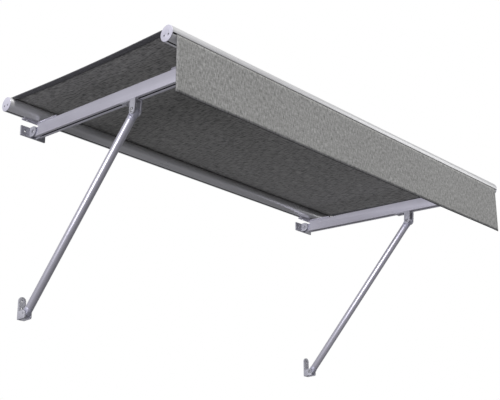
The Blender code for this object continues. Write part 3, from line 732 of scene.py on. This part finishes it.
@dataclass
class ValanceCloth:
    """The loose valance: a hanging flap with a rolled head, hemmed sides and foot, and lock-stitched seams."""

    hinge: Vector
    width: float = 2.273
    drop: float = 0.242
    thickness: float = 0.0010
    foot_hem: float = 0.015
    foot_clear: float = 0.0008
    # How far the flap stops short of the foot, so that the darker foot hem shows below it as a dark band along
    # the bottom edge.
    binding: float = 0.0034
    side_hem: float = 0.012
    head_radius: float = 0.0013
    head_clear: float = 0.004
    sway: float = 0.0018
    columns: int = 150
    rows: int = 20

    def front(self, x: float, down: float) -> float:
        """How far the cloth stands in front of the hinge line at a place: a faint swell that grows downwards."""
        share = down / self.drop
        even = math.sin(x * 7.3 + 0.4) * 0.6 + math.sin(x * 17.0 + 1.9) * 0.25
        uneven = noise.noise(Vector((x * 3.1, 0, 4)))
        return -self.sway * share**1.3 * (even + uneven)

    def strip(
        self, low: float, high: float, top: float, bottom: float, behind: float, columns: int, rows: int
    ) -> bmesh.types.BMesh:
        """A sheet over part of the valance, with its flat map in metres.

        Args:
            low: The lowest X.
            high: The highest X.
            top: How far below the hinge it starts.
            bottom: How far below the hinge it ends.
            behind: How far it lies behind the cloth's middle.
            columns: How many faces across.
            rows: How many faces down.

        Returns:
            The open sheet.
        """
        bm = bmesh.new()
        bmesh.ops.create_grid(bm, x_segments=columns, y_segments=rows, size=1.0)
        flat = bm.loops.layers.uv.new("flat")
        for vert in bm.verts:
            x = low + (high - low) * (vert.co.x + 1.0) / 2.0
            down = top + (bottom - top) * (1.0 - vert.co.y) / 2.0
            vert.co = self.hinge + Vector((x, self.front(x, down) + behind, -down))
        for face in bm.faces:
            for loop in face.loops:
                loop[flat].uv = (loop.vert.co.x, self.hinge.z - loop.vert.co.z)
        return bm

    def build(self, cloth: bpy.types.Material, hem: bpy.types.Material, thread: bpy.types.Material) -> None:
        """Args:
            cloth: The flap's material.
            hem: The doubled hem's material.
            thread: The stitches' material.
        """
        half = self.width / 2
        flap_shape = self.strip(-half, half, 0.0, self.drop - self.binding, 0.0, self.columns, self.rows)
        bmesh.ops.recalc_face_normals(flap_shape, faces=flap_shape.faces[:])
        flap = publish(flap_shape, "valance_flap", cloth, Body.VALANCE, ["valance"], 60.0)
        self.thicken(flap)
        back = self.thickness + 0.0002
        hem_top = self.drop - self.foot_hem
        side_end = hem_top - 0.0005
        bands = {
            "valance_foot_hem": (-half, half, hem_top, self.drop - self.foot_clear, self.columns, 2),
            "left_valance_hem": (-half, -half + self.side_hem, self.head_clear, side_end, 2, self.rows),
            "right_valance_hem": (half - self.side_hem, half, self.head_clear, side_end, 2, self.rows),
        }
        for name, (low, high, top, bottom, columns, rows) in bands.items():
            shape = self.strip(low, high, top, bottom, back, columns, rows)
            bmesh.ops.recalc_face_normals(shape, faces=shape.faces[:])
            band = publish(shape, name, hem, Body.VALANCE, (), 60.0)
            self.thicken(band)
        self.head(cloth)
        self.seams(half, thread)

    def head(self, cloth: bpy.types.Material) -> bpy.types.Object:
        """The rolled head of the flap, on the line that it swings on."""
        bm = bmesh.new()
        bmesh.ops.create_cone(
            bm, cap_ends=True, segments=14, radius1=self.head_radius, radius2=self.head_radius, depth=self.width
        )
        turn = Matrix.Rotation(math.pi / 2, 4, "Y")
        bmesh.ops.transform(bm, matrix=Matrix.Translation(self.hinge) @ turn, verts=bm.verts[:])
        flat = bm.loops.layers.uv.new("flat")
        for face in bm.faces:
            for loop in face.loops:
                loop[flat].uv = (loop.vert.co.x, self.hinge.z - loop.vert.co.z)
        return publish(bm, "valance_head", cloth, Body.VALANCE)

    def seams(self, half: float, thread: bpy.types.Material) -> bpy.types.Object:
        """The stitches of the foot and side hems, on both faces.

        Args:
            half: Half of the flap's width.
            thread: The stitches' material.

        Returns:
            The stitches, as one piece.
        """
        bm = bmesh.new()
        stitching = Stitching()
        foot = self.drop - self.foot_hem + 0.0025
        side_x = half - self.side_hem + 0.0025
        start = self.head_clear
        for lift, outward in ((-0.0006, Vector((0, -1, 0))), (0.0019, Vector((0, 1, 0)))):
            stitching.sew(
                bm,
                lambda run: self.hinge + Vector((run - half, self.front(run - half, foot) + lift, -foot)),
                self.width,
                outward,
            )
            for sign in (-1, 1):
                stitching.sew(
                    bm,
                    lambda run: self.hinge
                    + Vector((sign * side_x, self.front(sign * side_x, run + start) + lift, -run - start)),
                    self.drop - 2 * start,
                    outward,
                )
        return publish(bm, "valance_seams", thread, Body.VALANCE, (), 60.0)

    def thicken(self, piece: bpy.types.Object) -> None:
        """Gives a sheet its thickness, half to each side."""
        solid = piece.modifiers.new("thickness", "SOLIDIFY")
        solid.thickness = self.thickness
        solid.offset = 0.0


# ---------------------------------------------------------------- hard pieces
@dataclass(frozen=True)
class HardPiece:
    """A metal or plastic part that keeps its CAD shape and gets rounded edges and a finish."""

    node: str
    body: Body
    slot: str
    radius: float = 0.0004
    # Which section's inside gets painted shade, if any.
    hollow: Hollow = Hollow.NONE

    def build(self, frame: dict, layout: CanopyFrame, finish: bpy.types.Material) -> bpy.types.Object:
        """Makes the piece.

        Args:
            layout: The canopy's frame.
            finish: Its material.

        Returns:
            The piece.
        """
        shape = rounded_copy(frame, self.node, self.radius)
        if self.hollow is not Hollow.NONE:
            self.mark_hollow(shape, layout)
        return publish(shape, f"{self.node}_detail", finish, self.body, [self.node])


    def mark_hollow(self, shape: bmesh.types.BMesh, layout: CanopyFrame) -> None:
        """Marks the faces deep inside an extrusion, where the finish paints shade as a near-black colour.

        Args:
            shape: The piece's shape.
            layout: The canopy's frame.
        """
        across = [layout.section(vert.co) for vert in shape.verts]
        low = [min(values) for values in zip(*across)]
        high = [max(values) for values in zip(*across)]
        middle = [(a + b) / 2 for a, b in zip(low, high)]
        half = [(b - a) / 2 for a, b in zip(low, high)]
        layer = shape.verts.layers.float.new(PAINTED_SHADE_LAYER)
        for vert, place in zip(shape.verts, across):
            x, reach, height = (value - centre for value, centre in zip(place, middle))
            if self.hollow is Hollow.ROUND:
                depth = half[2] - math.hypot(reach, height)
            else:
                depth = min(half[0] - abs(x), half[2] - abs(height))
            vert[layer] = 1.0 if depth > HOLLOW_SKIN else 0.0


@dataclass
class CapScrews:
    """The pan-head screws in the tubes' end caps, each with a round recess in its head."""

    layout: CanopyFrame
    half_width: float = 1.160
    tube_height: float = TUBE_HEIGHT
    head_radius: float = 0.0042
    head_height: float = 0.0014
    spacing: float = 0.025
    below: float = 0.007

    def build(self, side: Side, end: End, reach: float, finish: bpy.types.Material) -> None:
        """Makes the two screws of one cap.

        Args:
            side: The cap's side.
            end: The cap's tube.
            reach: The tube's reach down the arms.
            finish: The screws' material.
        """
        for number, offset in enumerate((-self.spacing / 2, self.spacing / 2)):
            bm = bmesh.new()
            bmesh.ops.create_cone(
                bm,
                cap_ends=True,
                segments=20,
                radius1=self.head_radius,
                radius2=self.head_radius * 0.72,
                depth=self.head_height,
            )
            outer = max(bm.faces, key=lambda face: face.calc_center_median().z)
            bmesh.ops.inset_individual(bm, faces=[outer], thickness=self.head_radius * 0.36)
            bmesh.ops.translate(bm, vec=(0.0, 0.0, -0.0009), verts=outer.verts[:])
            turn = Matrix.Rotation(side.value * math.pi / 2, 4, "Y")
            spot = self.layout.point(
                side.value * (self.half_width + self.head_height / 2 - 0.0002),
                reach + offset,
                self.tube_height - self.below,
            )
            bmesh.ops.transform(bm, matrix=Matrix.Translation(spot) @ turn, verts=bm.verts[:])
            name = f"{end.value}_{side.word}_cap_screw_{number + 1}"
            publish(bm, name, finish, Body.CANOPY)


@dataclass
class FinishSet:
    """Every material of the awning, made once."""

    pitch: float
    strut_lean: float

    def __post_init__(self) -> None:
        """Makes the materials."""
        metal = (0.66, 0.65, 0.71)
        self.tube = SatinExtrusion(
            "tube_aluminium", (0.72, 0.72, 0.73), "X", metallic=0.55, roughness=0.30
        ).build()
        self.arm = SatinExtrusion("arm_aluminium", metal, "Y", -self.pitch).build()
        self.strut = SatinExtrusion(
            "strut_aluminium", metal, "Z", -self.strut_lean, metallic=0.50, roughness=0.36
        ).build()
        self.holder = SatinExtrusion("holder_aluminium", (0.50, 0.49, 0.55), "X").build()
        self.bracket = CastFinish("bracket_casting", (0.53, 0.53, 0.57)).build()
        self.fitting = CastFinish("fitting_casting", (0.52, 0.52, 0.60), metallic=0.25, roughness=0.48).build()
        self.steel = self.turned_steel("zinc_steel", (0.62, 0.62, 0.64), 0.34)
        self.dark_steel = self.turned_steel("cap_screw_steel", (0.20, 0.20, 0.22), 0.38)
        self.plastic = MouldedPlastic("cap_plastic", (0.60, 0.59, 0.66)).build()
        self.welt = MouldedPlastic("welt_plastic", (0.10, 0.10, 0.10)).build()
        self.canopy = WovenCloth(
            "canopy_acrylic", (0.030, 0.030, 0.029), (0.46, 0.455, 0.425), slub_length=0.045, slub_width=0.008
        ).build()
        self.valance = WovenCloth(
            "valance_acrylic", (0.095, 0.095, 0.092), (0.44, 0.44, 0.43), slub_length=0.022, slub_width=0.0040
        ).build()
        self.hem = WovenCloth("hem_acrylic", (0.05, 0.05, 0.055), (0.14, 0.14, 0.15)).build()
        self.valance_hem = WovenCloth("valance_hem_acrylic", (0.030, 0.030, 0.030), (0.12, 0.12, 0.118)).build()
        self.thread = CastFinish(
            "seam_thread", (0.13, 0.13, 0.13), metallic=0.0, roughness=0.8, grain=2500.0, relief=0.00005
        ).build()

    def turned_steel(self, name: str, colour: Colour, roughness: float) -> bpy.types.Material:
        """Makes a plated fastener's finish.

        Args:
            name: The material's name.
            colour: Its colour.
            roughness: Its roughness.

        Returns:
            The material.
        """
        return CastFinish(name, colour, 0.85, roughness, grain=1600.0, relief=0.00004).build()


def hard_pieces() -> list[tuple[HardPiece, str]]:
    """Every rigid piece with the name of its finish.

    Returns:
        Pairs of piece and finish name.
    """
    listed: list[tuple[HardPiece, str]] = []
    for end in End:
        tube = HardPiece(f"{end.value}_tube", Body.CANOPY, "anodised_aluminium", 0.0003, Hollow.ROUND)
        listed.append((tube, "tube"))
        listed.append((HardPiece(f"{end.value}_canopy_welt", Body.CANOPY, "light_grey_plastic", 0.0), "welt"))
    listed.append((HardPiece("valance_welt", Body.CANOPY, "light_grey_plastic", 0.0), "welt"))
    for side in Side:
        word = side.word
        shoe, strut = Body(f"{word}_shoe"), Body(f"{word}_strut")
        arm = HardPiece(f"{word}_arm", Body.CANOPY, "anodised_aluminium", 0.0004, Hollow.BOX)
        listed.append((arm, "arm"))
        listed.append((HardPiece(f"{word}_arm_cap", Body.CANOPY, "light_grey_plastic"), "plastic"))
        listed.append((HardPiece(f"{word}_hinge_block", Body.CANOPY, "painted_casting"), "fitting"))
        listed.append((HardPiece(f"{word}_wall_bracket", Body.WALL_SIDE, "bracket_aluminium", 0.0007), "bracket"))
        listed.append((HardPiece(f"{word}_foot_bracket", Body.WALL_SIDE, "bracket_aluminium", 0.0007), "bracket"))
        listed.append((HardPiece(f"{word}_wall_bolt", Body.WALL_SIDE, "zinc_plated_steel"), "steel"))
        listed.append((HardPiece(f"{word}_foot_bolt", Body.WALL_SIDE, "zinc_plated_steel"), "steel"))
        listed.append((HardPiece(f"{word}_shoe", shoe, "bracket_aluminium", 0.0007), "bracket"))
        for part in ("shoe_bolt", "shoe_nut", "shoe_screw_1", "shoe_screw_2", "slot_nut"):
            listed.append((HardPiece(f"{word}_{part}", shoe, "zinc_plated_steel", 0.0003), "steel"))
        listed.append((HardPiece(f"{word}_strut", strut, "anodised_aluminium", 0.0003), "strut"))
        for part in ("strut_foot_fitting", "strut_head_fitting"):
            listed.append((HardPiece(f"{word}_{part}", strut, "painted_casting", 0.0006), "fitting"))
        for end in End:
            name = f"{end.value}_{word}"
            listed.append((HardPiece(f"{name}_end_cap", Body.CANOPY, "light_grey_plastic"), "plastic"))
            listed.append((HardPiece(f"{name}_holder", Body.CANOPY, "anodised_aluminium"), "holder"))
            for part in ("inner", "outer"):
                node = f"{name}_holder_screw_{part}"
                listed.append((HardPiece(node, Body.CANOPY, "zinc_plated_steel", 0.0003), "steel"))
    return listed


# ---------------------------------------------------------------- stage
@dataclass(frozen=True)
class Lamp:
    """A wide, soft distant light."""

    name: str
    towards: tuple[float, float, float]
    strength: float
    colour: Colour
    spread: float

    def build(self) -> None:
        """Makes the light."""
        data = bpy.data.lights.new(self.name, "SUN")
        data.energy = self.strength
        data.color = self.colour
        data.angle = math.radians(self.spread)
        lamp = bpy.data.objects.new(self.name, data)
        lamp.rotation_euler = Vector(self.towards).to_track_quat("-Z", "Y").to_euler()
        bpy.context.collection.objects.link(lamp)


@dataclass(frozen=True)
class Studio:
    """A pale floor far below, a white surround and soft lamps."""

    floor_height: float = -2.40
    floor_radius: float = 3.2
    lamps: tuple[Lamp, ...] = (
        Lamp("key", (0.16, 0.50, -0.86), 3.3, (1.0, 0.995, 0.98), 12.0),
        Lamp("left_fill", (0.97, 0.08, 0.17), 2.1, (0.93, 0.92, 1.0), 25.0),
        Lamp("right_fill", (-0.75, 0.35, -0.30), 0.35, (1.0, 1.0, 1.0), 40.0),
    )

    def build(self) -> None:
        """Makes the floor, the surround and the lamps."""
        bm = bmesh.new()
        bmesh.ops.create_circle(bm, cap_ends=True, segments=96, radius=self.floor_radius)
        bmesh.ops.translate(bm, vec=(0.0, -0.5, self.floor_height), verts=bm.verts[:])
        mesh = bpy.data.meshes.new("studio_floor")
        bm.to_mesh(mesh)
        bm.free()
        board = Board("pale_floor")
        grain = board.noise(board.place("Object", 0.0, (1.0, 1.0, 1.0)), 8.0, 3.0)
        board.link(
            board.blend_colours(grain, (0.80, 0.80, 0.80), (0.84, 0.84, 0.84)), board.shader.inputs["Base Color"]
        )
        board.shader.inputs["Roughness"].default_value = 0.9
        mesh.materials.append(board.material)
        floor = bpy.data.objects.new("studio_floor", mesh)
        bpy.context.collection.objects.link(floor)
        floor.visible_diffuse = False
        floor.visible_glossy = False
        self.surround()
        for lamp in self.lamps:
            lamp.build()

    def surround(self) -> None:
        """The world: white behind the object, and a soft light that is brighter from above."""
        world = bpy.data.worlds.new("studio_surround")
        bpy.context.scene.world = world
        world.use_nodes = True
        tree = world.node_tree
        tree.nodes.clear()
        output = tree.nodes.new("ShaderNodeOutputWorld")
        backdrop = tree.nodes.new("ShaderNodeBackground")
        backdrop.inputs["Color"].default_value = (1.0, 1.0, 1.0, 1.0)
        light = tree.nodes.new("ShaderNodeBackground")
        where = tree.nodes.new("ShaderNodeTexCoord")
        split = tree.nodes.new("ShaderNodeSeparateXYZ")
        rise = tree.nodes.new("ShaderNodeMapRange")
        rise.inputs["From Min"].default_value = -1.0
        ramp = tree.nodes.new("ShaderNodeValToRGB")
        ramp.color_ramp.elements[0].color = (0.13, 0.13, 0.135, 1.0)
        ramp.color_ramp.elements[1].color = (0.50, 0.50, 0.50, 1.0)
        middle = ramp.color_ramp.elements.new(0.5)
        middle.color = (0.25, 0.25, 0.265, 1.0)
        path = tree.nodes.new("ShaderNodeLightPath")
        mix = tree.nodes.new("ShaderNodeMixShader")
        tree.links.new(where.outputs["Generated"], split.inputs["Vector"])
        tree.links.new(split.outputs["Z"], rise.inputs["Value"])
        tree.links.new(rise.outputs["Result"], ramp.inputs["Fac"])
        tree.links.new(ramp.outputs["Color"], light.inputs["Color"])
        tree.links.new(path.outputs["Is Camera Ray"], mix.inputs["Fac"])
        tree.links.new(light.outputs["Background"], mix.inputs[1])
        tree.links.new(backdrop.outputs["Background"], mix.inputs[2])
        tree.links.new(mix.outputs["Shader"], output.inputs["Surface"])


@dataclass(frozen=True)
class Camera:
    """The camera: below the canopy, on the left in front of it, looking up."""

    place: tuple[float, float, float] = (-3.3403, -3.7826, -2.0030)
    heading: float = 0.7941
    rise: float = 0.2952
    roll: float = -0.0051
    lens: float = 71.38
    shift: float = 0.14

    def build(self) -> None:
        """Makes the camera and sets it as the scene's."""
        level = math.cos(self.rise)
        forward = Vector((math.sin(self.heading) * level, math.cos(self.heading) * level, math.sin(self.rise)))
        right = Vector((math.cos(self.heading), -math.sin(self.heading), 0.0))
        up = right.cross(forward)
        across = right * math.cos(self.roll) + up * math.sin(self.roll)
        upward = up * math.cos(self.roll) - right * math.sin(self.roll)
        data = bpy.data.cameras.new("camera")
        data.lens = self.lens
        data.sensor_width = 36.0
        data.shift_y = self.shift
        data.clip_end = 60.0
        camera = bpy.data.objects.new("camera", data)
        bpy.context.collection.objects.link(camera)
        turn = Matrix((across, upward, -forward)).transposed().to_4x4()
        camera.matrix_world = Matrix.Translation(self.place) @ turn
        bpy.context.scene.camera = camera
        bpy.context.scene.view_settings.view_transform = "Standard"


def main() -> None:
    """Builds the awning's looks in order."""
    logging.basicConfig(level=logging.INFO, format="%(message)s")
    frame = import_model()
    joints = {joint["name"]: joint for joint in frame["joints"]}
    pitch = math.atan2(-joints["left_shoe_slide"]["axis"][2], -joints["left_shoe_slide"]["axis"][1])
    layout = CanopyFrame(Vector(joints["canopy_pitch"]["pos_m"]), pitch)
    foot = Vector(joints["left_strut_tilt"]["pos_m"])
    head = sum(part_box("left_shoe_bolt"), Vector()) / 2
    lean = math.atan2(foot.y - head.y, head.z - foot.z)
    finishes = FinishSet(pitch, lean)
    Camera().build()
    Studio().build()
    for piece, finish in hard_pieces():
        piece.build(frame, layout, getattr(finishes, finish))
    screws = CapScrews(layout)
    for side in Side:
        screws.build(side, End.REAR, REAR_REACH, finishes.dark_steel)
        screws.build(side, End.FRONT, REAR_REACH + TUBE_SPACING, finishes.dark_steel)
    CanopyCloth(layout).build(finishes.canopy, finishes.hem, finishes.thread)
    hinge = Vector(joints["valance_swing"]["pos_m"])
    ValanceCloth(hinge).build(finishes.valance, finishes.valance_hem, finishes.thread)


if __name__ == "__main__":
    main()
